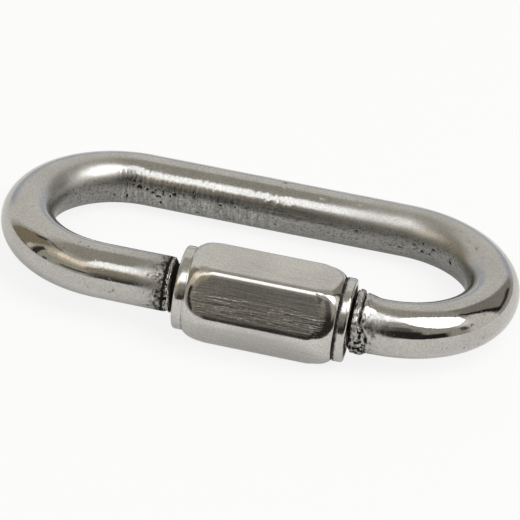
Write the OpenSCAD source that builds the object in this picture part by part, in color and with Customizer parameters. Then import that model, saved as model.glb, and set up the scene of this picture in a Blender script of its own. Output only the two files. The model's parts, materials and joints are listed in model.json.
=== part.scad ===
// Chain quick link: a round bar bent into an oval loop, closed by a long hexagon nut.
// The bar is open on its front limb. The nut screws across the gap and joins the two ends.
// Millimetres, +Z up. The link lies as it comes to rest, on one flat of the nut and on its
// back limb. The origin is on that surface, in the middle of the outline.

/* [Bar] */
// Diameter of the bar
bar_d = 5; // [4.6:0.1:5.6]
// Length inside the loop, from bow to bow
inside_l = 38.4; // [36:0.2:48]
// Width inside the loop, between the limbs
inside_w = 13.2; // [12:0.2:18]

/* [Gap and threads] */
// Width of the gap between the two ends of the bar
gap_w = 4.5; // [3.5:0.1:5.5]
// Length of the thread on the short end
short_thread_l = 3; // [2:0.1:4]
// Length of the thread on the long end
long_thread_l = 9.4; // [9.2:0.1:11]
// How far the thread crests lie under the bar's surface
thread_step = 0.05; // [0.02:0.01:0.15]
// Size of the chamfer on each end of the bar
end_chamfer = 0.5; // [0.2:0.1:0.8]

/* [Stop bead] */
// How far the bead stands proud of the bar
bead_h = 0.5; // [0.3:0.05:0.8]
// Length of the bead along the bar
bead_l = 1.2; // [0.8:0.1:1.6]
// Distance from the middle of the bead to the start of the bow
bead_setback = 1.65; // [1:0.05:2.5]

/* [Nut] */
// Width across the flats
nut_af = 8; // [7.6:0.1:10]
// Length of the nut over both collars
nut_l = 15.4; // [14:0.1:16.5]
// How far the turning takes down each corner of the hexagon
corner_turn = 0.07; // [0.03:0.01:0.2]
// Length of the turned dome at each end of the hexagon
dome_l = 1.9; // [0.8:0.05:2.4]
// How far the small end of each dome lies under the flats
dome_drop = 0.15; // [0.05:0.05:0.4]
// Length of each collar
collar_l = 0.9; // [0.6:0.1:1.5]
// How far each collar lies under the flats
collar_drop = 0.25; // [0.15:0.05:0.5]
// Chamfer on the outer edge of each collar
collar_chamfer = 0.25; // [0.1:0.05:0.4]
// Width of the groove behind each collar
groove_w = 0.12; // [0.08:0.02:0.3]
// Depth of that groove under the collar
groove_depth = 0.12; // [0.08:0.02:0.3]
// Length of the threaded bore, from the end that meets the bead
nut_thread_l = 9.1; // [8:0.1:9.1]
// Chamfer at each mouth of the bore
mouth_chamfer = 0.4; // [0.2:0.1:0.6]

/* [Fits] */
// Radial clearance between the nut's thread and the bar's
thread_clearance = 0.05; // [0.02:0.01:0.1]
// Radial clearance between the nut's plain bore and the bar
bar_clearance = 0.1; // [0.05:0.01:0.2]
// Gap between the closed nut and the bead
seat_gap = 0.3; // [0.1:0.05:0.6]

/* [Hidden] */
$fn = 96;
eps = 0.01; // overlap that lets a cut run through a face

bar_r = bar_d / 2;
bow_r = inside_w / 2 + bar_r;        // centreline radius of each bow
straight_l = inside_l - inside_w;    // length of each straight limb
thread_r = bar_r - thread_step;

bead_x = straight_l / 2 - bead_setback;
bead_seat_x = bead_x - bead_l / 2;   // where the nut closes against the bead
short_end_x = bead_seat_x - short_thread_l;
long_end_x = short_end_x - gap_w;

flat_r = nut_af / 2;
point_r = flat_r / cos(30);          // sharp corner of the hexagon
corner_r = point_r - corner_turn;    // corner after turning
collar_r = flat_r - collar_drop;
groove_r = collar_r - groove_depth;
dome_start = collar_l + groove_w;
dome_end = dome_start + dome_l;
dome_rise = corner_r - (flat_r - dome_drop);
dome_r = (dome_l * dome_l + dome_rise * dome_rise) / (2 * dome_rise); // runs out along the corners
nut_end_x = bead_seat_x - seat_gap;

// At rest the front limb is held up by the nut and the back limb lies on its own side.
front_z = flat_r;
back_z = bar_r;
rest_tilt = asin((front_z - back_z) / (2 * bow_r));
outline_y = (corner_r - bar_r) / 2;  // middle of the outline, in front of the loop's middle
front_y = outline_y - bow_r * cos(rest_tilt);

// Sets down what is drawn in the plane of the loop.
module lying() {
    translate([0, outline_y, (front_z + back_z) / 2])
        rotate([-rest_tilt, 0, 0])
            children();
}

// Round bar along X from x0 to x1.
module run(x0, x1, r) {
    translate([x0, 0, 0])
        rotate([0, 90, 0])
            cylinder(r = r, h = x1 - x0);
}

// Chamfered tip along X: from the full radius at x to the tip end_chamfer further on.
module tip(x, side) {
    translate([x, 0, 0])
        rotate([0, 90 * side, 0])
            cylinder(r1 = thread_r, r2 = thread_r - end_chamfer, h = end_chamfer);
}

// Half ring that joins the front limb to the back limb, on the +X side.
module bow() {
    translate([straight_l / 2, 0, 0])
        rotate([0, 0, -90])
            rotate_extrude(angle = 180)
                translate([bow_r, 0])
                    circle(r = bar_r);
}

// Upset bead on the bar, which the nut closes against.
module stop_bead() {
    translate([bead_x, 0, 0])
        rotate([0, 90, 0])
            rotate_extrude()
                translate([bar_r + bead_h - bead_l / 2, 0])
                    circle(r = bead_l / 2);
}

// Long end of the front limb: plain bar, then the thread that the nut runs back along.
module long_end() {
    thread_start = long_end_x - long_thread_l;
    run(-straight_l / 2, thread_start, bar_r);
    run(thread_start, long_end_x - end_chamfer, thread_r);
    tip(long_end_x - end_chamfer, 1);
}

// Short end of the front limb: the thread that the nut closes on, and the bead behind it.
module short_end() {
    run(short_end_x + end_chamfer, bead_x, thread_r);
    run(bead_x, straight_l / 2, bar_r);
    tip(short_end_x + end_chamfer, -1);
    stop_bead();
}

// The bar in one piece: back limb, two bows and the two threaded ends.
module link_body() {
    color([0.74, 0.73, 0.71])
        lying() {
            translate([0, bow_r, 0])
                run(-straight_l / 2, straight_l / 2, bar_r);
            bow();
            mirror([1, 0, 0]) bow();
            translate([0, -bow_r, 0]) {
                long_end();
                short_end();
            }
        }
}

// Outline of one half of the nut from its end face, with the radius along X.
module nut_half_outline() {
    square([groove_r, nut_l / 2]);
    polygon([
        [0, 0],
        [collar_r - collar_chamfer, 0],
        [collar_r, collar_chamfer],
        [collar_r, collar_l],
        [0, collar_l]
    ]);
    intersection() {
        translate([corner_r - dome_r, dome_end]) circle(r = dome_r);
        translate([0, dome_start]) square([corner_r, dome_l]);
    }
    translate([0, dome_end]) square([corner_r, nut_l / 2 - dome_end]);
}

// Turned form of the nut along Z: both ends alike, with the corners taken down between.
module nut_turned_form() {
    rotate_extrude() {
        nut_half_outline();
        translate([0, nut_l]) mirror([0, 1]) nut_half_outline();
    }
}

// Hexagon bar along Z with one pair of flats facing X.
module hexagon_bar() {
    rotate([0, 0, 30])
        cylinder(r = point_r, h = nut_l, $fn = 6);
}

// Bore along Z from z0 to z1.
module bore(z0, z1, r) {
    translate([0, 0, z0])
        cylinder(r = r, h = z1 - z0);
}

// Chamfer at the mouth of a bore, widening towards the end face at z on the given side.
module mouth(z, side, r) {
    translate([0, 0, z])
        rotate([90 - 90 * side, 0, 0])
            translate([0, 0, -mouth_chamfer])
                cylinder(r1 = r, r2 = r + mouth_chamfer + eps, h = mouth_chamfer + eps);
}

// Long nut with round collars. Its bore is threaded from the end that meets the bead, and
// plain behind that, to slide back over the bar when the link is opened.
module sleeve_nut() {
    thread_bore_r = thread_r + thread_clearance;
    plain_bore_r = bar_r + bar_clearance;
    color([0.7, 0.69, 0.67])
        translate([nut_end_x, front_y, front_z])
            rotate([0, -90, 0])
                difference() {
                    intersection() {
                        hexagon_bar();
                        nut_turned_form();
                    }
                    bore(-eps, nut_l, thread_bore_r);
                    bore(nut_thread_l, nut_l + eps, plain_bore_r);
                    mouth(0, -1, thread_bore_r);
                    mouth(nut_l, 1, plain_bore_r);
                }
}

link_body();
sleeve_nut();
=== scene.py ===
"""Looks for the chain quick link: the polished bar, its threads and bead, and the hexagon nut.

Lengths in this script are millimetres, turned into metres where a mesh or a lamp is made.
"""

import json
import math

import bpy
import numpy as np
from mathutils import Matrix, Vector, noise


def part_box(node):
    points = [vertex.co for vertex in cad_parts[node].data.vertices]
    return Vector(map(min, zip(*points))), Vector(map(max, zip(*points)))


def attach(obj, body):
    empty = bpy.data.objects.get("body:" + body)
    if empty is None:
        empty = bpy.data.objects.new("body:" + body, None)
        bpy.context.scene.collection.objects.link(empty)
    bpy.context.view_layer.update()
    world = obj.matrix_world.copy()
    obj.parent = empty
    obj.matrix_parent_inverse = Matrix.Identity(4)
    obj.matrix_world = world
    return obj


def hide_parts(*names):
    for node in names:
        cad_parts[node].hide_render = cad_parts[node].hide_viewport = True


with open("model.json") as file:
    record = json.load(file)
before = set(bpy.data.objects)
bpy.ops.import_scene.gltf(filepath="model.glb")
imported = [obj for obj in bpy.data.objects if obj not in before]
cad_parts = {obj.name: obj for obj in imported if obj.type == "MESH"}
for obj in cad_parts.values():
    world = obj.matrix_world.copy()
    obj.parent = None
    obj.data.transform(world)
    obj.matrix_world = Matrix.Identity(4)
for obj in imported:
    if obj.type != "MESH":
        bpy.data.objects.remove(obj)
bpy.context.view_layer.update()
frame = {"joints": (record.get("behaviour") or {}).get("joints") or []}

MM = 0.001
SHARP_EDGE = 55           # degrees between faces

# Sizes, from the frame and a few dimensions of the real link
BAR_R = 2.5
THREAD_R = 2.45           # crests of the thread on the bar
THREAD_PITCH = 0.8
THREAD_DEPTH = 0.49
THREAD_CREST = 1 / 16     # half width of a crest, as a share of the pitch
THREAD_FLANK = 5 / 16     # width of a flank, the same
LONG_THREAD = 9.4
GAP = 4.5
TIP_CHAMFER = 0.5
BEAD_LENGTH = 1.2
BEAD_HEIGHT = 0.5
SEAT_GAP = 0.3

NUT_BORE_R = 2.5          # bottoms of the nut's thread
NUT_THREAD_HEIGHT = 0.44
NUT_THREAD_CLEARANCE = 0.06
NUT_PLAIN_R = 2.6
NUT_THREAD = 9.1
NUT_LEAD = 0.3            # from the plain bore to where the thread starts to rise
NUT_MOUTH = 0.4
COLLAR_DROP = 0.25
COLLAR_LENGTH = 0.9
COLLAR_CHAMFER = 0.25
GROOVE_WIDTH = 0.12
GROOVE_DEPTH = 0.12
DOME_DROP = (0.30, 0.15)  # at the bead's end, which is worn lower, and at the other
DOME_LENGTH = 1.9


def box_mm(node):
    low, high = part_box(node)
    return np.array(low) / MM, np.array(high) / MM


link_low, link_high = box_mm("link_body")
nut_low, nut_high = box_mm("sleeve_nut")

front_axis = (nut_low + nut_high)[1:] / 2
back_axis = np.array([link_high[1] - BAR_R, link_low[2] + BAR_R])
loop_centre = (front_axis + back_axis) / 2
across = back_axis - front_axis
bow_r = math.hypot(*across) / 2
rest_tilt = math.atan2(-across[1], across[0])
half_straight = link_high[0] - BAR_R - bow_r

nut_travel = frame["joints"][0]["range_m"][1] / MM
nut_end = nut_high[0]
nut_length = nut_high[0] - nut_low[0]
flat_r = (nut_high[2] - nut_low[2]) / 2
corner_r = (nut_high[1] - nut_low[1]) / 2
long_end = nut_end - nut_travel
short_end = long_end + GAP
bead_start = nut_end + SEAT_GAP
thread_start = long_end - LONG_THREAD


def to_world(x, v, w):
    """Points of the loop's plane (v across it, w out of it) where the link lies, in metres."""
    c, s = math.cos(rest_tilt), math.sin(rest_tilt)
    y = loop_centre[0] + v * c + w * s
    z = loop_centre[1] - v * s + w * c
    return np.stack([x, y, z], -1) * MM


def smoothstep(low, high, x):
    t = np.clip((x - low) / (high - low), 0, 1)
    return t * t * (3 - 2 * t)


def band(rise_from, rise_to, fall_from, fall_to, x):
    """1 between the two inner limits and 0 outside the outer ones, with smooth edges."""
    return smoothstep(rise_from, rise_to, x) * (1 - smoothstep(fall_from, fall_to, x))


def at_least(share, t):
    """The share where t is 0, rising to 1 where t is 1."""
    return share + (1 - share) * t


def bumps(points, amount, size, octaves=1):
    """Smooth noise of about plus or minus the amount, with features of the given size."""
    flat = points.reshape(-1, 3) / size
    total = np.zeros(len(flat))
    for octave in range(octaves):
        k = 2.0 ** octave
        total += np.array([noise.noise(Vector(p)) for p in flat * k]) / k
    return amount * total.reshape(points.shape[:-1])


def thread_phase(x, dy, dz):
    """Distance from the crest of a right-hand thread along X, from 0 at it to 0.5 turns."""
    turn = np.arctan2(dz, dy) / (2 * math.pi)
    t = (x / THREAD_PITCH - turn) % 1.0
    return np.minimum(t, 1.0 - t)


def thread_depth(phase):
    """How far under the crest the thread lies: flat crest, straight flanks, flat root."""
    return THREAD_DEPTH * np.clip((phase - THREAD_CREST) / THREAD_FLANK, 0, 1)


def ring_mesh(name, rings, attributes, closed=False):
    """A skin through rings of points, one row of the array each, with named numbers on its points.

    A closed skin runs from the last ring back to the first, and an open one has a cap at each end.
    """
    rows, count = rings.shape[:2]
    ring = np.arange(rows if closed else rows - 1)[:, None]
    here, beyond = ring * count, (ring + 1) % rows * count
    a = np.arange(count)[None]
    b = np.roll(a, -1)
    faces = np.stack([here + a, here + b, beyond + b, beyond + a], -1).reshape(-1, 4).tolist()
    if not closed:
        faces.append(list(range(count))[::-1])
        faces.append(list(range((rows - 1) * count, rows * count)))
    mesh = bpy.data.meshes.new(name)
    mesh.from_pydata(rings.reshape(-1, 3).tolist(), [], faces)
    for key, values in attributes.items():
        layer = mesh.attributes.new(key, "FLOAT", "POINT")
        layer.data.foreach_set("value", values.reshape(-1).astype(np.float32))
    mesh.shade_smooth()
    mesh.set_sharp_from_angle(angle=math.radians(SHARP_EDGE))
    mesh.validate()
    obj = bpy.data.objects.new(name, mesh)
    bpy.context.scene.collection.objects.link(obj)
    return obj


# The bar
# Lengths along the bar, from the long end, at which each bow and limb starts
LEFT_BOW = long_end + half_straight
BACK_LIMB = LEFT_BOW + math.pi * bow_r
RIGHT_BOW = BACK_LIMB + 2 * half_straight
FRONT_LIMB = RIGHT_BOW + math.pi * bow_r
BAR_END = FRONT_LIMB + half_straight - short_end

AROUND = 112
STATIONS = [
    # length along the bar up to which the step holds, and the step
    (LONG_THREAD - 1.5, 0.08),
    (LONG_THREAD + 2.0, 0.05),
    (BACK_LIMB - 6.0, 0.25),
    (BACK_LIMB + 15.0, 0.09),
    (RIGHT_BOW, 0.25),
    (RIGHT_BOW + 12.0, 0.12),
    (FRONT_LIMB - 0.9, 0.25),
    (BAR_END, 0.05),
]
SKIN_UNDER = 0.016        # how far the bar's skin lies under its full radius on average
# Here and below, unevenness is an amount, the size of its features and its octaves.
SKIN_WAVES = ((0.012, 5.0, 1), (0.005, 1.5, 1))


def stations():
    lengths = [np.zeros(1)]
    for stop, step in STATIONS:
        start = lengths[-1][-1]
        lengths.append(np.linspace(start, stop, math.ceil((stop - start) / step) + 1)[1:])
    return np.concatenate(lengths)[:, None]


def bar_axis(along):
    """Place on the bar's axis in the loop's plane, and the direction out of the loop there."""
    half_turn = math.pi * bow_r
    turned = np.clip(along - LEFT_BOW, 0, half_turn) + np.clip(along - RIGHT_BOW, 0, half_turn)
    heading = -math.pi / 2 - turned / bow_r
    x = long_end - np.minimum(along, LEFT_BOW) + np.clip(along - BACK_LIMB, 0, 2 * half_straight)
    x = x - np.maximum(along - FRONT_LIMB, 0) + bow_r * np.cos(heading)
    return x, bow_r * np.sin(heading), np.cos(heading), np.sin(heading)


# Marks of the bending tool and pits, by mm from the start of the back limb and by degrees round
# the bar (0 outward, 90 up). A grain is the mm and degrees between the features of a noise.
INNER_SIDE = (122, 144, 215, 240)
TICKED = (-4.5, -2.8, 10.0, 13.5)
TICK_DEPTH = 0.010
TICK_MEAN = 0.5
TICK_GRAIN = (0.32, 26)
TEETH_AT = -1.0           # where the tool bit deepest
TEETH_REACH = (0.5, 2.5)
TEETH_EXTRA = 0.8
CRINKLE_AT = (12.6, 143)
CRINKLE_SPREAD = (1.7, 11)
CRINKLE_HEIGHT = 0.055
CRINKLE_MEAN = 0.35
CRINKLE_GRAIN = (0.55, 15)
CREASE_AT = (12.7, 90)
CREASE_SLANT = 0.03       # mm for each degree
CREASE_WIDTH = 0.10
CREASE_DEPTH = 0.03
CREASE_SIDE = (78, 88, 108, 120)
PITS = [
    # place, turn, half length, half width, dirt
    (-3.80, 196, 0.12, 0.06, 0.9), (-2.25, 168, 0.06, 0.20, 0.7), (-2.22, 201, 0.07, 0.25, 0.6),
    (-1.40, 158, 0.17, 0.08, 1.0), (-0.67, 170, 0.22, 0.14, 1.0), (0.31, 173, 0.10, 0.10, 0.8),
    (1.09, 172, 0.10, 0.07, 0.7), (1.44, 185, 0.17, 0.06, 1.0), (1.88, 173, 0.06, 0.26, 0.8),
    (2.60, 179, 0.08, 0.08, 0.8), (2.96, 173, 0.14, 0.09, 1.0), (4.94, 161, 0.05, 0.25, 0.6),
    (5.30, 212, 0.10, 0.05, 0.8), (7.48, 177, 0.09, 0.07, 1.0), (8.94, 175, 0.07, 0.06, 0.8),
    (8.44, 215, 0.08, 0.08, 1.0), (12.93, 199, 0.09, 0.06, 0.7), (13.02, 86, 0.15, 0.08, 0.8),
    (20.86, 82, 0.12, 0.06, 0.6), (20.65, 175, 0.14, 0.06, 0.8), (26.64, 178, 0.12, 0.06, 0.9),
    (27.78, 169, 0.10, 0.06, 0.9), (27.84, 189, 0.14, 0.09, 1.0), (28.86, 189, 0.10, 0.06, 0.9),
    (30.37, 170, 0.08, 0.06, 0.7), (32.43, 182, 0.12, 0.08, 0.9), (31.31, 109, 0.14, 0.07, 0.3),
    (32.90, 116, 0.20, 0.08, 0.4), (34.47, 115, 0.15, 0.08, 0.4), (36.31, 115, 0.12, 0.08, 0.4),
    (-2.11, 197, 0.08, 0.12, 0.6), (-1.47, 167, 0.13, 0.08, 0.7), (0.83, 178, 0.15, 0.07, 0.8),
    (1.66, 202, 0.07, 0.16, 0.8), (3.05, 160, 0.06, 0.10, 0.7), (4.89, 168, 0.08, 0.08, 0.7),
    (16.90, 118, 0.22, 0.12, 0.3), (19.60, 175, 0.12, 0.07, 0.7), (20.62, 114, 0.14, 0.10, 0.2),
    (23.94, 194, 0.16, 0.06, 0.6), (24.90, 194, 0.16, 0.06, 0.7), (29.34, 175, 0.16, 0.07, 0.8),
    (32.19, 179, 0.09, 0.09, 0.7),
]
PIT_DEPTH = 0.05
PIT_SPREAD = 1.6
PIT_STEEPNESS = 1.5
PIT_CRUMBLE = 1.4         # how ragged the rims are
PIT_GRAIN = (0.13, 4)


def skin_noise(place, degrees, grain, octaves, layer):
    """Noise on the unrolled skin of the bar. Each layer is a noise of its own."""
    still = 0 * (place + degrees)
    points = np.stack([place / grain[0] + still, degrees / grain[1] + still, layer + still], -1)
    return bumps(points, 1.0, 1.0, octaves)


def dents(along, degrees):
    """Depth of the marks and pits under the bar's skin, and the dirt that the pits hold."""
    place = along - BACK_LIMB
    teeth = 1 + TEETH_EXTRA * (1 - smoothstep(*TEETH_REACH, np.abs(place - TEETH_AT)))
    ticks = TICK_MEAN + skin_noise(place, degrees, TICK_GRAIN, octaves=2, layer=0)
    depth = TICK_DEPTH * band(*INNER_SIDE, degrees) * band(*TICKED, place) * teeth * ticks

    # a crumpled fold on the highlight side, and a crease over the top beside it
    folded = np.exp(-((place - CRINKLE_AT[0]) / CRINKLE_SPREAD[0]) ** 2
                    - ((degrees - CRINKLE_AT[1]) / CRINKLE_SPREAD[1]) ** 2)
    crinkle = CRINKLE_MEAN + skin_noise(place, degrees, CRINKLE_GRAIN, octaves=2, layer=9)
    depth = depth - CRINKLE_HEIGHT * folded * crinkle
    line = (place - CREASE_AT[0] - CREASE_SLANT * (degrees - CREASE_AT[1])) / CREASE_WIDTH
    depth = depth + CREASE_DEPTH * np.exp(-line ** 2) * band(*CREASE_SIDE, degrees)

    crumble = np.exp(PIT_CRUMBLE * skin_noise(place, degrees, PIT_GRAIN, octaves=1, layer=5))
    dirt = np.zeros(depth.shape)
    for start, turn, half_length, half_width, dark in PITS:
        half_length, half_width = PIT_SPREAD * half_length, PIT_SPREAD * half_width
        off = BAR_R * np.radians((degrees - turn + 180) % 360 - 180)
        reach = ((place - start) / half_length) ** 2 + (off / half_width) ** 2
        hole = np.exp(-(reach * crumble) ** PIT_STEEPNESS)
        depth = depth + PIT_DEPTH * hole
        dirt = np.maximum(dirt, dark * hole)
    return depth, dirt


# The bead: a lip that the nut meets, a crevice behind the lip, and a fold that runs out on the bar.
# Its upper part is the fuller one. Heights on the bar are shares of its radius.
BEAD_SPAN = (-0.15, 3.5 * BEAD_LENGTH)    # from the start of the bead
BEAD_FOOT = 0.1           # how far its foot lies under the thread's crests, and past its start
BEAD_UPPER = (0.0, 0.55)
BEAD_LEAD = 0.10          # how much nearer to the nut the upper part starts
BEAD_WANDER = (0.08, 0.9, 2)
CREVICE_AT = 0.74         # from the start of the bead, in its upper part
CREVICE_LATER = 0.70      # further on in its lower part
CREVICE_WANDER = (0.12, 0.7, 2)
LIP_RISE = (-0.14, 0.04)  # from the start of the bead
LIP_FALL = (-0.24, 0.03)  # from the crevice
LIP_LOWER = 0.58          # share of the height that is left in the lower part
FOLD_HEIGHT = 0.40
FOLD_RISE = (-0.05, 0.2)  # from the crevice
FOLD_LOWER = 0.2
FOLD_REACH = 1.5
FOLD_REACH_OUTER = 0.9    # more on the outer side of the loop
FOLD_OUTER = (-0.4, 0.4)
KNOB_HEIGHT = 0.4         # of a knob on top of the fold
KNOB_UPPER = (0.6, 0.95)
KNOB_LENGTH = 0.6
LUMPS = (0.35, 0.7, 3)    # as a share of the height
LUMPS_MEAN = 0.9
LUMPS_CALMER = 0.2        # less in the upper part
ROUGH = (0.05, 0.24, 2)
ROUGH_START = (-0.05, 0.15)   # from the start of the bead
ROUGH_END = (0.3, 0.9)    # from the crevice
ROUGH_CALMER = 0.35
BEAD_PITS = (1.0, 0.32, 2)
BEAD_PIT_LEVEL = (0.24, 0.42)
BEAD_PIT_DEPTH = 0.12
BEAD_PIT_END = (0.0, 0.25)    # from the crevice
BEAD_PIT_LOWER = (0.5, -0.1)
BEAD_PIT_UPPER = 0.15     # share of the pits that is left in the upper part
NOTCH_DEPTH = 0.09
NOTCH_WIDTH = 0.06
NOTCH_LOWER = 0.3
NOTCH_DIRT = 0.8
NOTCH_DIRT_MEAN = 0.65
NOTCH_DIRT_BLOTCHES = (0.9, 0.4, 1)


def bead_form(xs, ca, sa):
    """The crumbled bead: how far it stands out of the bar, and the dirt in its crevice and pits."""
    ring = np.stack([0 * xs, BAR_R * ca + 0 * xs, BAR_R * sa + 0 * xs], -1)
    solid = ring + np.stack([xs, 0 * xs, 0 * xs], -1)
    upper = smoothstep(*BEAD_UPPER, sa)
    u = xs - bead_start + BEAD_LEAD * upper - bumps(ring, *BEAD_WANDER)
    crevice = CREVICE_AT + CREVICE_LATER * (1 - upper) + bumps(ring, *CREVICE_WANDER)
    beyond = u - crevice

    lip = smoothstep(*LIP_RISE, u) * (1 - smoothstep(*LIP_FALL, beyond))
    reach = FOLD_REACH + FOLD_REACH_OUTER * smoothstep(*FOLD_OUTER, ca)
    fold = FOLD_HEIGHT * smoothstep(*FOLD_RISE, beyond) * np.clip(1 - beyond / reach, 0, 1)
    fold = fold * at_least(FOLD_LOWER, upper)
    knob = KNOB_HEIGHT * smoothstep(*KNOB_UPPER, sa) * np.exp(-(beyond / KNOB_LENGTH) ** 2)
    swell = at_least(LIP_LOWER, upper) * lip + (fold + knob) * (1 - lip)
    lumps = LUMPS_MEAN + bumps(solid, *LUMPS) * (1 - LUMPS_CALMER * upper)

    near = smoothstep(*ROUGH_START, u) * (1 - smoothstep(*ROUGH_END, beyond))
    pits = near * (1 - smoothstep(*BEAD_PIT_END, beyond))
    pits = pits * smoothstep(*BEAD_PIT_LEVEL, bumps(solid, *BEAD_PITS))
    pits = pits * at_least(BEAD_PIT_UPPER, smoothstep(*BEAD_PIT_LOWER, sa))
    notch = near * np.exp(-(beyond / NOTCH_WIDTH) ** 2) * at_least(NOTCH_LOWER, upper)
    rise = BEAD_HEIGHT * swell * lumps - BEAD_PIT_DEPTH * pits - NOTCH_DEPTH * notch
    rise = rise + near * (1 - ROUGH_CALMER * upper) * bumps(solid, *ROUGH)
    blotches = NOTCH_DIRT_MEAN + bumps(solid, *NOTCH_DIRT_BLOTCHES)
    dirt = np.clip(pits + NOTCH_DIRT * notch * blotches, 0, 1)
    return np.minimum(rise, BEAD_HEIGHT), dirt


# The ragged start of the long thread, by mm from where the thread starts
RAGGED_AT = 0.18
RAGGED_WANDER = (0.3, 0.3, 2)
RAGGED_LENGTH = 0.35      # over which the thread reaches its depth
BURR = (0.07, 0.22, 2)
BURR_LIMIT = 0.04
BURR_END = (0.6, 1.2)

# Dirt, from 0 to 1
CREEP = ((0.32, -4.2, -0.8), (0.15, -1.2, 0.1))   # dirt, and where it starts and is full
CREEP_BLOTCHES = (0.35, 0.28, 3)
BRINK_DIRT = 0.3          # line of dirt at the thread's start
BRINK_AT = 0.04
BRINK_WIDTH = 0.08
ROOT_DIRT = 0.9
ROOT_FROM = (0.3, 0.9)    # share of the thread's depth
CREST_FROM = (0.15, 0.3)
CREST_WIPED = 0.6
CREST_BLOTCHES = (0.3, 0.2, 2)
BEAD_DIRT = 0.33
BEAD_DIRT_WIPED = 0.10    # less of it on top
BEAD_DIRT_TOP = (0.2, 0.6)
BEAD_DIRT_AT = 0.7        # from the start of the bead
BEAD_DIRT_REACH = (0.4, 4.6)
BEAD_DIRT_BLOTCHES = (0.5, 0.3, 2)
SAWN_END = 0.3            # on the two end faces


def make_link():
    along = stations()
    angle = np.linspace(0, 2 * math.pi, AROUND, endpoint=False)[None]
    ca, sa = np.cos(angle), np.sin(angle)
    x, v, out_x, out_v = bar_axis(along)
    xs = x + 0 * ca
    out = np.stack([out_x * ca, out_v * ca, sa + 0 * x], -1)
    centre = np.stack([x, v, 0 * x], -1)
    skin = centre + BAR_R * out
    on_front = (along < LEFT_BOW) | (along > FRONT_LIMB)
    middle_of_gap = (long_end + short_end) / 2
    on_left = on_front & (xs < middle_of_gap)
    on_right = on_front & (xs > middle_of_gap)

    # the drawn and bent bar is not quite true
    marks, grime_and_shade = dents(along, np.degrees(angle))
    plain = BAR_R - SKIN_UNDER
    for wave in SKIN_WAVES:
        plain = plain + bumps(skin, *wave)
    r = plain - marks

    # thread turns, measured in the lying frame so that they meet the nut's
    c, s = math.cos(rest_tilt), math.sin(rest_tilt)
    dy = out[..., 1] * c + out[..., 2] * s
    dz = -out[..., 1] * s + out[..., 2] * c
    depth = thread_depth(thread_phase(xs, dy, dz))
    ragged = thread_start + RAGGED_AT + bumps(skin * [0, 1, 1], *RAGGED_WANDER)
    depth = np.where(on_left, depth * smoothstep(0.0, RAGGED_LENGTH, xs - ragged), depth)
    on_long = on_left & (xs > thread_start)
    on_short = on_right & (xs < bead_start)
    from_tip = np.where(on_left, long_end - xs, xs - short_end)
    tip = THREAD_R - TIP_CHAMFER + np.maximum(from_tip, 0)
    past_start = xs - thread_start
    burr = bumps(skin, *BURR) * on_long * (1 - smoothstep(*BURR_END, past_start))
    threaded = np.minimum(THREAD_R - depth + np.minimum(burr, BURR_LIMIT), tip)
    r = np.where(on_long | on_short, threaded, r)

    from_gap = short_end + BAR_END - along + 0 * ca
    rise, bead_dirt = bead_form(from_gap, ca, sa)
    past_bead = from_gap - bead_start
    on_bead = (past_bead > BEAD_SPAN[0]) & (past_bead < BEAD_SPAN[1])
    foot = np.where(past_bead < BEAD_FOOT, THREAD_R - BEAD_FOOT, plain)
    r = np.where(on_bead, foot + rise, r)

    # dirt lies in the thread and creeps out of it along the bar
    creep = on_left * sum(dirt * smoothstep(start, full, past_start) for dirt, start, full in CREEP)
    sunk = smoothstep(*ROOT_FROM, depth / THREAD_DEPTH) * (on_long | on_short)
    crest = on_long * smoothstep(*CREST_FROM, past_start) * (1 - sunk)
    in_thread = ROOT_DIRT * sunk + crest * bumps(skin, *CREST_BLOTCHES)
    grime_and_shade = np.maximum(grime_and_shade, creep * (1 - CREST_WIPED * crest) + in_thread)
    brink = on_left * np.exp(-((past_start - BRINK_AT) / BRINK_WIDTH) ** 2)
    blotches = creep * bumps(skin, *CREEP_BLOTCHES)
    grime_and_shade = np.maximum(grime_and_shade + blotches + BRINK_DIRT * brink, 0)
    near_bead = 1 - smoothstep(*BEAD_DIRT_REACH, np.abs(past_bead - BEAD_DIRT_AT))
    near_bead = near_bead * (BEAD_DIRT - BEAD_DIRT_WIPED * smoothstep(*BEAD_DIRT_TOP, sa))
    near_bead = near_bead * (1 + bumps(skin, *BEAD_DIRT_BLOTCHES))
    grime_and_shade = np.clip(np.maximum(grime_and_shade, near_bead + bead_dirt * on_bead), 0, 1)
    grime_and_shade[[0, -1]] = SAWN_END

    loop = centre + r[..., None] * out
    rings = to_world(loop[..., 0], loop[..., 1], loop[..., 2])
    attributes = {
        "along": along + 0 * ca,
        "outward": ca + 0 * xs,
        "upward": sa + 0 * xs,
        "grime_and_shade": grime_and_shade,
    }
    return ring_mesh("link_bar", rings, attributes)


# The nut
HALF_SECTOR = math.radians(30)
FIRST_FLAT = math.radians(90)     # the top one. Angles run from +Y over the top
FRONT_FLAT = math.radians(150)    # the one that faces the camera
SECTOR_STEPS = 48
THREAD_STEPS = 12         # for each turn
MOUTH_RINGS = 4
RIM_RINGS = 7
MIDDLE_RINGS = 22
GROOVE_WALL = 1e-3        # between the groove's walls and the rings beside them
COLLAR_EDGE = 0.04
DOME_STEPS = (0.04, 0.08)     # near the groove, and on to the end of the dome
FINE_LENGTH = 0.6
PAST_DOME = 0.4
BEFORE_THREAD = 0.05
CORNER_SOFTNESS = 0.20    # rounding of the hexagon's corners against the turned form
END_SOFTNESS = (0.60, 0.36)   # where the flats run into the dome at the bead's end and the other
SOFTNESS_CHANGE = (-0.5, 0.3)   # between the two, from the end of the dome
CROWN = 0.09              # how far the edges of a flat lie under its plane
CROWN_WIDTH = (0.22, 0.40)    # share of the half width over which it falls to its two edges
FLAT_FROM = (0.05, 0.35)  # where the turned form lies this far over the flat
FLAT_EDGE = (0.0, 0.5)    # share of the way down to the flat's edge
FLAT_START = (0.5, 1.4)   # from the start of the dome at the bead's end
GROOVE_DIRT = (0.55, 0.3)     # at the bead's end and the other
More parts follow.
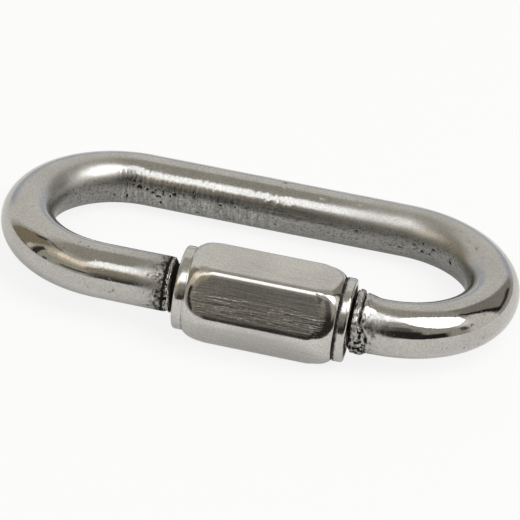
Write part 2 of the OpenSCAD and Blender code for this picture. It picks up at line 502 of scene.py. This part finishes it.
GROOVE_DIRT_REACH = (0.15, 0.10)    # to each side of the groove's middle
BORE_DIRT = 0.8
# Painted shade and dark reflection, darkening the plain end of the front flat only
EDGE_SHADE = 0.58               # along the plain end of the front flat
EDGE_SHADE_UNDER = (0.02, 0.10, 0.16, 0.40)   # where the turned form lies this far over the flat
EDGE_SHADE_FROM = (0.7, 1.1)    # from the end of the dome
EDGE_SHADE_SIDE = (-18, -6)     # degrees across the flat, over which it fades upward
BRUSHED_SIDE = (-13, 0)   # degrees across each flat, over which the brushing gets stronger
BRUSHED_LEAST = 0.3


def smooth_min(a, b, k):
    h = np.maximum(k - np.abs(a - b), 0) / k
    return np.minimum(a, b) - h * h * k / 4


def nut_profile(u, dome_drop):
    """Turned radius at a distance u from the nearer end of the nut."""
    collar_r = flat_r - COLLAR_DROP
    dome_start = COLLAR_LENGTH + GROOVE_WIDTH
    dome_end = dome_start + DOME_LENGTH
    rise = corner_r - flat_r + dome_drop
    dome_r = (DOME_LENGTH ** 2 + rise ** 2) / (2 * rise)
    dome = corner_r - dome_r + np.sqrt(dome_r ** 2 - np.clip(dome_end - u, 0, DOME_LENGTH) ** 2)
    edge = np.clip(1 - u / COLLAR_CHAMFER, 0, 1)
    collar = collar_r - COLLAR_CHAMFER * (1 - np.sqrt(1 - edge ** 2))
    groove = np.full_like(u, collar_r - GROOVE_DEPTH)
    return np.where(u < COLLAR_LENGTH, collar, np.where(u < dome_start, groove, dome))


def nut_stations():
    """Distances from the bead's end of the nut at which its outside has a ring of points."""
    rim = COLLAR_CHAMFER * np.linspace(0, 1, RIM_RINGS) ** 2
    collar = [COLLAR_LENGTH / 2, COLLAR_LENGTH - COLLAR_EDGE, COLLAR_LENGTH - GROOVE_WALL]
    dome_start = COLLAR_LENGTH + GROOVE_WIDTH
    groove = [COLLAR_LENGTH + GROOVE_WALL, dome_start - GROOVE_WALL]
    fine_step, step = DOME_STEPS
    fine = np.arange(dome_start, dome_start + FINE_LENGTH, fine_step)
    dome = np.arange(fine[-1] + step, dome_start + DOME_LENGTH + PAST_DOME, step)
    near = np.concatenate([rim, collar, groove, fine, dome])
    between = np.linspace(near[-1], nut_length - near[-1], MIDDLE_RINGS)[1:-1]
    return np.concatenate([near, between, nut_length - near[::-1]])[:, None]


def nut_bore(ca, sa):
    """Place along X and radius of the bore's rings, from the plain end back to the threaded end."""
    plain_end = nut_length - NUT_THREAD - BEFORE_THREAD
    plain = np.concatenate([np.linspace(0, NUT_MOUTH, MOUTH_RINGS), [plain_end]])
    plain_x = nut_end - nut_length + plain
    plain_r = np.maximum(NUT_PLAIN_R, NUT_PLAIN_R + NUT_MOUTH - plain)
    steps = int(NUT_THREAD / THREAD_PITCH * THREAD_STEPS)
    thread_x = np.linspace(nut_end - NUT_THREAD, nut_end, steps + 1)
    bore_x = np.concatenate([plain_x, thread_x])[:, None] + 0 * ca
    depth = thread_depth(thread_phase(bore_x, ca, sa))
    threaded = THREAD_R + NUT_THREAD_CLEARANCE - depth
    threaded = np.clip(threaded, NUT_BORE_R - NUT_THREAD_HEIGHT, NUT_BORE_R)
    mouth = NUT_BORE_R + NUT_MOUTH - (nut_end - bore_x)
    lead = NUT_PLAIN_R - np.maximum(bore_x - (nut_end - NUT_THREAD + NUT_LEAD), 0)
    bore_r = np.maximum(np.maximum(threaded, mouth), lead)
    bore_r[:len(plain_x)] = plain_r[:, None]
    return bore_x, bore_r


def make_nut():
    s = np.linspace(-1, 1, SECTOR_STEPS, endpoint=False)
    within = HALF_SECTOR * (0.5 * s + 0.5 * np.sin(s * math.pi / 2))
    sector = np.arange(6) * 2 * HALF_SECTOR
    angle = (sector[:, None] + within[None]).reshape(-1) + FIRST_FLAT
    within = np.tile(within, 6)
    ca, sa = np.cos(angle)[None], np.sin(angle)[None]
    # polishing has rounded each flat off towards its edges
    half_flat = flat_r * math.tan(HALF_SECTOR)
    width = np.where(within < 0, *CROWN_WIDTH)
    to_edge = np.clip(1 - (1 - np.abs(flat_r * np.tan(within)) / half_flat) / width, 0, 1)
    hexagon = (flat_r / np.cos(within) - CROWN * to_edge ** 2)[None]

    u = nut_stations()
    at_bead = u < nut_length / 2
    from_end = np.minimum(u, nut_length - u)
    dome_start = COLLAR_LENGTH + GROOVE_WIDTH
    past_dome = from_end - (dome_start + DOME_LENGTH)
    turned = nut_profile(from_end, np.where(at_bead, *DOME_DROP))
    softness = np.where(at_bead, *END_SOFTNESS)
    softness = softness + (CORNER_SOFTNESS - softness) * smoothstep(*SOFTNESS_CHANGE, past_dome)
    outer = smooth_min(hexagon, turned + 0 * hexagon, softness)
    outer_x = nut_end - u + 0 * hexagon

    bore_x, bore_r = nut_bore(ca, sa)
    all_x = np.concatenate([outer_x, bore_x])
    all_r = np.concatenate([outer, bore_r])
    rings = np.stack([all_x, front_axis[0] + all_r * ca, front_axis[1] + all_r * sa], -1) * MM

    # the flats between their rounded edges, each brushed harder towards one side
    above_flat = turned - hexagon
    outside = slice(len(outer))
    flat = np.zeros(all_r.shape)
    flat[outside] = smoothstep(*FLAT_FROM, above_flat) * (1 - smoothstep(*FLAT_EDGE, to_edge))
    flat[outside] *= smoothstep(*FLAT_START, u - dome_start)
    stronger = smoothstep(*BRUSHED_SIDE, np.degrees(within))
    brushed = flat * at_least(BRUSHED_LEAST, stronger)

    from_groove = np.abs(from_end - COLLAR_LENGTH - GROOVE_WIDTH / 2)
    groove_dirt = np.where(at_bead, *GROOVE_DIRT) * smoothstep(*GROOVE_DIRT_REACH, from_groove)
    # painted shade and dark reflection along the plain end of the front flat, which faces the
    # camera, laid in with the groove and bore dirt
    painted_end_shade = EDGE_SHADE * band(*EDGE_SHADE_UNDER, above_flat) * smoothstep(*EDGE_SHADE_FROM, -past_dome) * ~at_bead
    painted_end_shade = painted_end_shade * (np.cos(angle - FRONT_FLAT) > math.cos(HALF_SECTOR))
    painted_end_shade = painted_end_shade * smoothstep(*EDGE_SHADE_SIDE, np.degrees(within))
    grime_and_shade = np.full(all_r.shape, BORE_DIRT)
    grime_and_shade[outside] = np.maximum(groove_dirt, painted_end_shade)

    # taken the other way round, so that the skin faces outward
    attributes = {"flat": flat[:, ::-1], "brushed": brushed[:, ::-1], "grime_and_shade": grime_and_shade[:, ::-1]}
    return ring_mesh("hex_nut", rings[:, ::-1], attributes, closed=True)


# Materials
class Nodes:
    """Short words for building a shader tree."""

    def __init__(self, tree):
        self.tree = tree

    def add(self, kind, **settings):
        node = self.tree.nodes.new(kind)
        for key, value in settings.items():
            setattr(node, key, value)
        return node

    def link(self, source, target):
        self.tree.links.new(source, target)

    def put(self, socket, value):
        if isinstance(value, bpy.types.NodeSocket):
            self.link(value, socket)
        else:
            socket.default_value = value

    def math(self, operation, *values, clamp=False):
        node = self.add("ShaderNodeMath", operation=operation, use_clamp=clamp)
        for i, value in enumerate(values):
            self.put(node.inputs[i], value)
        return node.outputs[0]

    def times(self, first, *others):
        for other in others:
            first = self.math("MULTIPLY", first, other)
        return first

    def plus(self, a, b, clamp=False):
        return self.math("ADD", a, b, clamp=clamp)

    def opposite(self, value):
        return self.math("SUBTRACT", 1.0, value)

    def remap(self, value, low, high, to_low=0.0, to_high=1.0, smooth=True):
        kind = "SMOOTHSTEP" if smooth else "LINEAR"
        node = self.add("ShaderNodeMapRange", interpolation_type=kind)
        for i, v in enumerate((value, low, high, to_low, to_high)):
            self.put(node.inputs[i], v)
        return node.outputs[0]

    def band(self, value, rise_from, rise_to, fall_from, fall_to):
        """1 between the two inner limits and 0 outside the outer ones, with smooth edges."""
        rise = self.remap(value, rise_from, rise_to)
        return self.times(rise, self.remap(value, fall_to, fall_from))

    def mix(self, factor, a, b):
        node = self.add("ShaderNodeMix", data_type="RGBA")
        self.put(node.inputs["Factor"], factor)
        self.put(node.inputs[6], a)
        self.put(node.inputs[7], b)
        return node.outputs[2]

    def attribute(self, name):
        return self.add("ShaderNodeAttribute", attribute_name=name).outputs["Fac"]

    def vector(self, x, y, z):
        node = self.add("ShaderNodeCombineXYZ")
        for i, value in enumerate((x, y, z)):
            self.put(node.inputs[i], value)
        return node.outputs[0]

    def millimetres(self, scale=(1, 1, 1)):
        """The piece's own coordinates in millimetres, stretched by the scale."""
        coordinates = self.add("ShaderNodeTexCoord").outputs["Object"]
        node = self.add("ShaderNodeVectorMath", operation="MULTIPLY")
        self.link(coordinates, node.inputs[0])
        node.inputs[1].default_value = [k / MM for k in scale]
        return node.outputs[0]

    def noise(self, vector, scale=1.0, detail=2.0, roughness=0.5, level=None):
        """Noise, or where it stands between the two ends of a level, from 0 to 1."""
        node = self.add("ShaderNodeTexNoise")
        self.link(vector, node.inputs["Vector"])
        node.inputs["Scale"].default_value = scale
        node.inputs["Detail"].default_value = detail
        node.inputs["Roughness"].default_value = roughness
        value = node.outputs["Fac"]
        return value if level is None else self.remap(value, *level)

    def bump(self, height, depth_mm, normal=None):
        node = self.add("ShaderNodeBump")
        node.inputs["Strength"].default_value = 1.0
        node.inputs["Distance"].default_value = depth_mm * MM
        self.link(height, node.inputs["Height"])
        if normal is not None:
            self.link(normal, node.inputs["Normal"])
        return node.outputs[0]


def new_material(name):
    material = bpy.data.materials.new(name)
    material.use_nodes = True
    tree = material.node_tree
    tree.nodes.clear()
    n = Nodes(tree)
    shader = n.add("ShaderNodeBsdfPrincipled")
    output = n.add("ShaderNodeOutputMaterial")
    n.link(shader.outputs[0], output.inputs["Surface"])
    return material, n, shader


STEEL = (0.58, 0.57, 0.55, 1)
STEEL_DULL = (0.45, 0.44, 0.42, 1)
NUT_STEEL = (0.68, 0.665, 0.64, 1)
NUT_STEEL_DULL = (0.52, 0.51, 0.49, 1)
# for the nut's scratches, and for the darker underside inside the loop: partly less polish, partly
# painted shade
UNPOLISHED_AND_SHADE = (0.235, 0.237, 0.225, 1)
PIT = (0.06, 0.054, 0.046, 1)
# near black, for the dirt and for the painted shade along the nut's front flat
DARK_DIRT_AND_SHADE = (0.014, 0.012, 0.010, 1)

# How much of each kind of mark, and of the painted shade under the loop, shows in the colour
DRIFT_SHARE = 0.45
MOTTLE_SHARE = 0.85
PIT_SHARE = 0.65
SMALL_PITS = 0.6          # against the large ones
SPECKLE_SHARE = 0.75
DARK_LINE_SHARE = 0.6
SCRATCH_SHARE = 0.35
UNPOLISHED_AND_SHADE_SHARE = (1.0, 0.3)     # between the scuffs, and on them

# Dirt and the nut's painted edge shade: fine and coarse grain added to their number on the mesh,
# the level at which the sum shows, and the range over which the surface loses metal, with the metal
# at its ends
FINE_GRAIN = 0.45
COARSE_GRAIN = 0.30
DIRT_AND_SHADE_LEVEL = (0.64, 0.92)
DIRT_AND_SHADE_METAL = (0.3, 1.0, 1.0, 0.35)

# Roughness, and what each kind of mark adds to it
ROUGHNESS_LEVEL = (0.3, 0.75)
BAR_ROUGHNESS = (0.035, 0.075)
NUT_ROUGHNESS = (0.05, 0.085)
SATIN = (0.29, 0.07)      # on the inside of the loop, and in the bright middle of the back limb
GRIME_ROUGHNESS = 0.8
DIRT_AND_SHADE_ROUGHNESS = 0.5
PIT_ROUGHNESS = 0.3
INNER_ROUGHNESS = 0.05
SCRATCH_ROUGHNESS = 0.10
TURNED_ROUGHNESS = 0.06   # on the nut beside its flats

# Noise features for each mm along the bar and for each radius across it
DRAWN_LINES = (0.35, 30.0)
TOOL_MARKS = (5.0, 1.6)
DRAWN_LEVEL = (0.35, 0.68)
DARK_LINE_LEVEL = (0.52, 0.70)
SCORE_LEVEL = (0.38, 0.66)

# Stretches along the bar
ROUGH_STRETCH = (BACK_LIMB - 23, BACK_LIMB - 12, RIGHT_BOW + 10, RIGHT_BOW + 18)
MARKED_STRETCH = (BACK_LIMB - 4.5, BACK_LIMB - 2, BACK_LIMB + 10, BACK_LIMB + 15)
BRIGHT_STRETCH = (BACK_LIMB - 5, BACK_LIMB, BACK_LIMB + 14, BACK_LIMB + 24)

# Sides of the bar, by how far they face outward and upward
UNDER_SIDE = ((-0.1, -0.6), (0.62, 0.2))
LOWEST_SIDE = ((-0.55, -0.85), (0.55, 0.2))
SATIN_SIDE = (0.5, -0.3)

# Brushing of the nut: stretch of the fine and the coarse noise, and depths in mm
HAIR_STRETCH = (0.30, 6.0, 6.0)
COARSE_STRETCH = (0.35, 2.8, 2.8)
SCRATCH_LEVEL = (0.5, 0.72)
NOISE_MEAN = 0.5
HAIR_DEPTH = 0.024
COARSE_DEPTH = 0.048


def steel_colour(n, mm, clean=STEEL, dull=STEEL_DULL):
    """Steel that drifts a little from place to place, with a fine mottling."""
    drift = n.noise(mm, scale=0.22, detail=3, level=(0.35, 0.7))
    mottle = n.noise(mm, scale=5.5, detail=3, roughness=0.7, level=(0.38, 0.64))
    shade = n.plus(n.times(drift, DRIFT_SHARE), n.times(mottle, MOTTLE_SHARE), clamp=True)
    return n.mix(shade, clean, dull)


def dirt_and_shade_mask(n, mm):
    """Where dirt and the nut's painted edge shade lie: ragged, the denser the higher the mesh's
    number.
    """
    fine = n.times(n.noise(mm, scale=6.0, detail=3, roughness=0.65), FINE_GRAIN)
    coarse = n.times(n.noise(mm, scale=1.4), COARSE_GRAIN)
    return n.remap(n.plus(n.attribute("grime_and_shade"), n.plus(fine, coarse)), *DIRT_AND_SHADE_LEVEL)


def lay_dirt_and_shade(n, shader, colour, dirt):
    """Puts the dirt and the nut's painted edge shade on the steel. Neither is metal."""
    n.link(n.mix(dirt, colour, DARK_DIRT_AND_SHADE), shader.inputs["Base Color"])
    n.link(n.remap(dirt, *DIRT_AND_SHADE_METAL), shader.inputs["Metallic"])


def bar_material():
    material, n, shader = new_material("polished_bar_steel")
    mm = n.millimetres()
    along = n.attribute("along")
    outward = n.attribute("outward")
    upward = n.attribute("upward")
    colour = steel_colour(n, mm)

    def on_skin(per_mm, per_radius):
        across_bar = n.times(outward, per_radius), n.times(upward, per_radius)
        return n.vector(n.times(along, per_mm), *across_bar)

    def side(outward_limits, upward_limits):
        return n.times(n.remap(outward, *outward_limits), n.remap(upward, *upward_limits))

    # sparse pits, larger ones in loose groups and a fine peppering
    groups = n.noise(mm, scale=0.3, level=(0.45, 0.62))
    large = n.times(n.noise(mm, scale=2.6, detail=1, level=(0.70, 0.77)), groups)
    small = n.noise(mm, scale=6.5, detail=1, level=(0.73, 0.80))
    pits = n.math("MAXIMUM", large, n.times(small, SMALL_PITS))
    colour = n.mix(n.times(pits, PIT_SHARE), colour, PIT)

    # the inner side of the loop is scored across by the bending tool and drawn lengthwise, and its
    # underside is darkened, partly less polish and partly painted shade for the shadowed floor it
    # mirrors
    lines = n.noise(on_skin(*DRAWN_LINES), detail=3, roughness=0.65)
    across_marks = n.noise(on_skin(*TOOL_MARKS), detail=4, roughness=0.65)
    back = n.band(along, *ROUGH_STRETCH)
    inner = n.times(back, side(*UNDER_SIDE))
    marked = n.band(along, *MARKED_STRETCH)
    scores = n.remap(across_marks, *SCORE_LEVEL)
    drawn = n.remap(lines, *DRAWN_LEVEL)
    scuff = n.plus(n.times(scores, marked), n.times(drawn, n.opposite(marked)))
    # painted shade, partly less polish: the underside is darkened, less so on the scuffs
    dull = n.times(inner, n.remap(scuff, 0.0, 1.0, *UNPOLISHED_AND_SHADE_SHARE, smooth=False))
    colour = n.mix(dull, colour, UNPOLISHED_AND_SHADE)

    # dark speckle on its lowest part, and dark lines where the tool left no marks
    worn = n.times(back, side(*LOWEST_SIDE))
    speckle = n.noise(mm, scale=4.5, detail=4, roughness=0.75, level=(0.48, 0.66))
    colour = n.mix(n.times(speckle, worn, SPECKLE_SHARE), colour, PIT)
    unmarked = n.math("SUBTRACT", inner, n.times(inner, marked))
    dark_lines = n.times(n.remap(lines, *DARK_LINE_LEVEL), unmarked)
    colour = n.mix(n.times(dark_lines, DARK_LINE_SHARE), colour, PIT)

    dirt = dirt_and_shade_mask(n, mm)
    lay_dirt_and_shade(n, shader, colour, dirt)

    rough = n.remap(n.noise(mm, scale=0.8, detail=3), *ROUGHNESS_LEVEL, *BAR_ROUGHNESS)
    satin = n.times(back, n.remap(outward, *SATIN_SIDE))
    bright = n.band(along, *BRIGHT_STRETCH)
    rough = n.plus(rough, n.times(satin, n.remap(bright, 0.0, 1.0, *SATIN, smooth=False)))
    rough = n.plus(rough, n.times(n.attribute("grime_and_shade"), GRIME_ROUGHNESS))
    rough = n.plus(rough, n.times(inner, INNER_ROUGHNESS))
    rough = n.plus(rough, n.times(pits, PIT_ROUGHNESS))
    rough = n.plus(rough, n.times(dirt, DIRT_AND_SHADE_ROUGHNESS), clamp=True)
    n.link(rough, shader.inputs["Roughness"])

    normal = n.bump(n.noise(mm, scale=1.1), depth_mm=0.008)
    normal = n.bump(lines, depth_mm=0.002, normal=normal)
    normal = n.bump(n.times(scores, n.times(inner, marked)), depth_mm=0.006, normal=normal)
    normal = n.bump(n.opposite(pits), depth_mm=0.006, normal=normal)
    n.link(normal, shader.inputs["Normal"])
    return material


def nut_material():
    material, n, shader = new_material("brushed_nut_steel")
    mm = n.millimetres()
    flat = n.attribute("flat")
    brushed = n.attribute("brushed")
    colour = steel_colour(n, mm, NUT_STEEL, NUT_STEEL_DULL)

    # brushing along the flats
    hair = n.noise(n.millimetres(HAIR_STRETCH), detail=3, roughness=0.65)
    coarse = n.noise(n.millimetres(COARSE_STRETCH), detail=3, roughness=0.6)
    scratch = n.times(n.remap(hair, *SCRATCH_LEVEL), brushed)
    colour = n.mix(n.times(scratch, SCRATCH_SHARE), colour, UNPOLISHED_AND_SHADE)

    # the dirt, and the painted shade and dark reflection along the front flat's plain end
    dirt = dirt_and_shade_mask(n, mm)
    lay_dirt_and_shade(n, shader, colour, dirt)

    rough = n.remap(n.noise(mm, scale=0.8, detail=3), *ROUGHNESS_LEVEL, *NUT_ROUGHNESS)
    rough = n.plus(rough, n.times(scratch, SCRATCH_ROUGHNESS))
    rough = n.plus(rough, n.times(n.opposite(flat), TURNED_ROUGHNESS))
    rough = n.plus(rough, n.times(dirt, DIRT_AND_SHADE_ROUGHNESS), clamp=True)
    n.link(rough, shader.inputs["Roughness"])

    normal = n.bump(n.noise(mm), depth_mm=0.005)
    for texture, depth_mm in ((hair, HAIR_DEPTH), (coarse, COARSE_DEPTH)):
        height = n.times(n.math("SUBTRACT", texture, NOISE_MEAN), brushed)
        normal = n.bump(height, depth_mm, normal)
    n.link(normal, shader.inputs["Normal"])
    return material


link = make_link()
link.data.materials.append(bar_material())
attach(link, "link")
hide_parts("link_body")

nut = make_nut()
nut.data.materials.append(nut_material())
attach(nut, "nut")
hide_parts("sleeve_nut")


# Floor
FLOOR_SIZE = 6000
FLOOR_DROP = 0.02
FLOOR_COLOUR = (0.9, 0.9, 0.9, 1)
FLOOR_GLOW = 0.85           # share of plain white in the floor that the camera sees
FLOOR_GLOW_MIRRORED = 0.26  # and in the floor that the metal mirrors
WHITE = (1, 1, 1, 1)


def make_floor():
    half = FLOOR_SIZE / 2 * MM
    corners = [(-half, -half), (half, -half), (half, half), (-half, half)]
    mesh = bpy.data.meshes.new("floor")
    mesh.from_pydata([(x, y, -FLOOR_DROP * MM) for x, y in corners], [], [(0, 1, 2, 3)])
    floor = bpy.data.objects.new("floor", mesh)
    bpy.context.scene.collection.objects.link(floor)
    material = bpy.data.materials.new("white_paper")
    material.use_nodes = True
    tree = material.node_tree
    tree.nodes.clear()
    n = Nodes(tree)
    paper = n.add("ShaderNodeBsdfDiffuse")
    paper.inputs["Color"].default_value = FLOOR_COLOUR
    glow = n.add("ShaderNodeEmission")
    glow.inputs["Color"].default_value = WHITE
    glow.inputs["Strength"].default_value = 1.0
    path = n.add("ShaderNodeLightPath").outputs
    direct = n.math("MAXIMUM", path["Is Camera Ray"], path["Is Transmission Ray"])
    mirrored = n.times(path["Is Glossy Ray"], FLOOR_GLOW_MIRRORED)
    mixed = n.add("ShaderNodeMixShader")
    n.link(n.math("MAXIMUM", n.times(direct, FLOOR_GLOW), mirrored), mixed.inputs[0])
    n.link(paper.outputs[0], mixed.inputs[1])
    n.link(glow.outputs[0], mixed.inputs[2])
    output = n.add("ShaderNodeOutputMaterial")
    n.link(mixed.outputs[0], output.inputs["Surface"])
    mesh.materials.append(material)


make_floor()


# Studio: soft surroundings, by direction. Azimuth 0 is +Y, behind the link, and 90 is +X.
# Each panel is a soft-edged patch of light or shade, over those before it.
ROOM = (0.43, 0.41, 0.36)
PANELS = [
    # colour, middle azimuth, half width, lowest and highest elevation, edge softness
    ((0.79, 0.77, 0.725), -22, 46, -90, 54, 14),      # pale sweep behind
    ((0.53, 0.57, 0.64), -12, 36, -20, 13, 10),       # cooler low down
    ((0.46, 0.44, 0.38), -124, 52, -20, 50, 4),       # window and room to the left
    ((0.60, 0.565, 0.49), -138, 32, 46, 60, 8),
    ((0.72, 0.63, 0.49), -137, 30, 26, 50, 7),
    ((1.28, 1.13, 0.91), -139, 22, 36, 48, 6),
    ((1.32, 1.18, 1.00), -152, 13, 34, 50, 7),
    ((0.29, 0.25, 0.165), -86, 13, -20, 48, 2),
    ((0.06, 0.05, 0.04), -77, 4, 40, 50, 2),
    ((0.12, 0.11, 0.09), -96, 15, 50, 53, 3),
    ((0.05, 0.045, 0.04), -108, 4, -20, 32, 2),
    ((0.75, 0.72, 0.66), -100, 2.5, 4, 18, 3),
    ((0.10, 0.09, 0.07), -151, 15, 7, 13, 3),
    ((0.08, 0.07, 0.06), -120, 2, 1, 8, 2),
    ((0.30, 0.285, 0.255), 41, 17, 8, 55, 6),         # dark screen to the right
    ((0.05, 0.045, 0.04), 46, 13, 10, 17, 3),
    ((0.02, 0.018, 0.016), 62, 5, 10, 54, 3),
    ((0.86, 0.83, 0.78), 83, 17, -20, 44, 6),         # pale wall beside it
    ((1.10, 1.07, 1.02), 97, 9, 27, 42, 10),
    ((0.12, 0.11, 0.10), 102, 4, 12, 25, 4),
    ((0.45, 0.43, 0.40), 162, 18, 40, 76, 10),        # photographer's side
    ((0.295, 0.282, 0.255), 170, 26, -20, 42, 10),
    ((0.175, 0.168, 0.148), 176, 20, -20, 27, 8),
    ((0.03, 0.027, 0.025), 180, 8, -20, 17, 5),
    ((0.03, 0.027, 0.025), -175, 6, -20, 13, 4),
    ((0.40, 0.355, 0.27), -163, 6, 20, 38, 5),
    ((0.13, 0.12, 0.11), 160, 10, 14, 44, 6),
    ((0.025, 0.022, 0.02), 150, 30, -20, 19, 7),
    ((0.03, 0.027, 0.025), 159, 16, 8, 29, 7),
    ((1.82, 1.84, 1.86), -167, 17, 48, 85, 10),       # pale ceiling in front
    ((1.70, 1.71, 1.73), 156, 26, 65, 87, 8),
]
KEY_LIGHT = {
    "azimuth": 107, "elevation": 56, "distance": 600,
    "width": 410, "height": 490, "radiance": 3.3,
}


def make_world():
    """The panels light the link and are mirrored in it, and the camera sees plain white."""
    world = bpy.data.worlds.new("studio")
    bpy.context.scene.world = world
    world.use_nodes = True
    tree = world.node_tree
    tree.nodes.clear()
    n = Nodes(tree)
    direction = n.add("ShaderNodeSeparateXYZ")
    n.link(n.add("ShaderNodeTexCoord").outputs["Generated"], direction.inputs[0])
    x, y, z = direction.outputs
    azimuth = n.math("ARCTAN2", x, y)
    elevation = n.math("ARCSINE", z)
    colour = (*ROOM, 1)
    for panel, *degrees in PANELS:
        middle, half, low, high, soft = (math.radians(k) for k in degrees)
        off = n.math("SUBTRACT", azimuth, middle)
        off = n.math("ABSOLUTE", n.math("WRAP", off, math.pi, -math.pi))
        inside = n.remap(off, half + soft / 2, half - soft / 2)
        above = n.remap(elevation, low - soft / 2, low + soft / 2)
        below = n.remap(elevation, high + soft / 2, high - soft / 2)
        colour = n.mix(n.times(inside, n.times(above, below)), colour, (*panel, 1))
    studio = n.add("ShaderNodeBackground")
    n.link(colour, studio.inputs["Color"])
    white = n.add("ShaderNodeBackground")
    white.inputs["Color"].default_value = WHITE
    seen = n.add("ShaderNodeMixShader")
    n.link(n.add("ShaderNodeLightPath").outputs["Is Camera Ray"], seen.inputs[0])
    n.link(studio.outputs[0], seen.inputs[1])
    n.link(white.outputs[0], seen.inputs[2])
    n.link(seen.outputs[0], n.add("ShaderNodeOutputWorld").inputs["Surface"])


def make_key_light():
    """One large oval soft lamp to the right, facing the link."""
    k = KEY_LIGHT
    az, el = math.radians(k["azimuth"]), math.radians(k["elevation"])
    toward = Vector((math.sin(az) * math.cos(el), math.cos(az) * math.cos(el), math.sin(el)))
    data = bpy.data.lights.new("key", "AREA")
    data.shape = "ELLIPSE"
    data.size = k["width"] * MM
    data.size_y = k["height"] * MM
    data.energy = math.pi * (math.pi / 4 * data.size * data.size_y) * k["radiance"]
    lamp = bpy.data.objects.new("key", data)
    lamp.rotation_euler = toward.to_track_quat("Z", "Y").to_euler()
    lamp.location = toward * k["distance"] * MM
    bpy.context.scene.collection.objects.link(lamp)


make_world()
make_key_light()


# Camera, where the photograph was taken from
VIEW_AZIMUTH = 7.47
VIEW_ELEVATION = 29.94      # above the plane of the loop
VIEW_ROLL = -7.58
VIEW_OFFSET = (-0.070, -0.927, 197.0)   # loop's middle seen from the camera: right, down, ahead
FOCAL_PIXELS = 2140.6
PHOTO_PIXELS = 520
SENSOR = 36.0
CLIP = (0.005, 20)          # metres


def make_camera():
    az, el, roll = (math.radians(k) for k in (VIEW_AZIMUTH, VIEW_ELEVATION, VIEW_ROLL))
    ahead = Vector((-math.sin(az) * math.cos(el), math.cos(az) * math.cos(el), -math.sin(el)))
    level = Vector((math.cos(az), math.sin(az), 0))
    down = ahead.cross(level)
    right = math.cos(roll) * level + math.sin(roll) * down
    down = -math.sin(roll) * level + math.cos(roll) * down
    place = -(VIEW_OFFSET[0] * right + VIEW_OFFSET[1] * down + VIEW_OFFSET[2] * ahead)

    axes = Matrix((right, -down, -ahead)).transposed()
    lying = Matrix.Rotation(-rest_tilt, 3, "X")
    matrix = (lying @ axes).to_4x4()
    middle = Vector((0, loop_centre[0], loop_centre[1]))
    matrix.translation = (middle + lying @ place) * MM

    data = bpy.data.cameras.new("camera")
    data.sensor_width = SENSOR
    data.lens = FOCAL_PIXELS / PHOTO_PIXELS * SENSOR
    data.clip_start, data.clip_end = CLIP
    camera = bpy.data.objects.new("camera", data)
    camera.matrix_world = matrix
    bpy.context.scene.collection.objects.link(camera)
    bpy.context.scene.camera = camera


make_camera()
bpy.context.scene.view_settings.view_transform = "Standard"
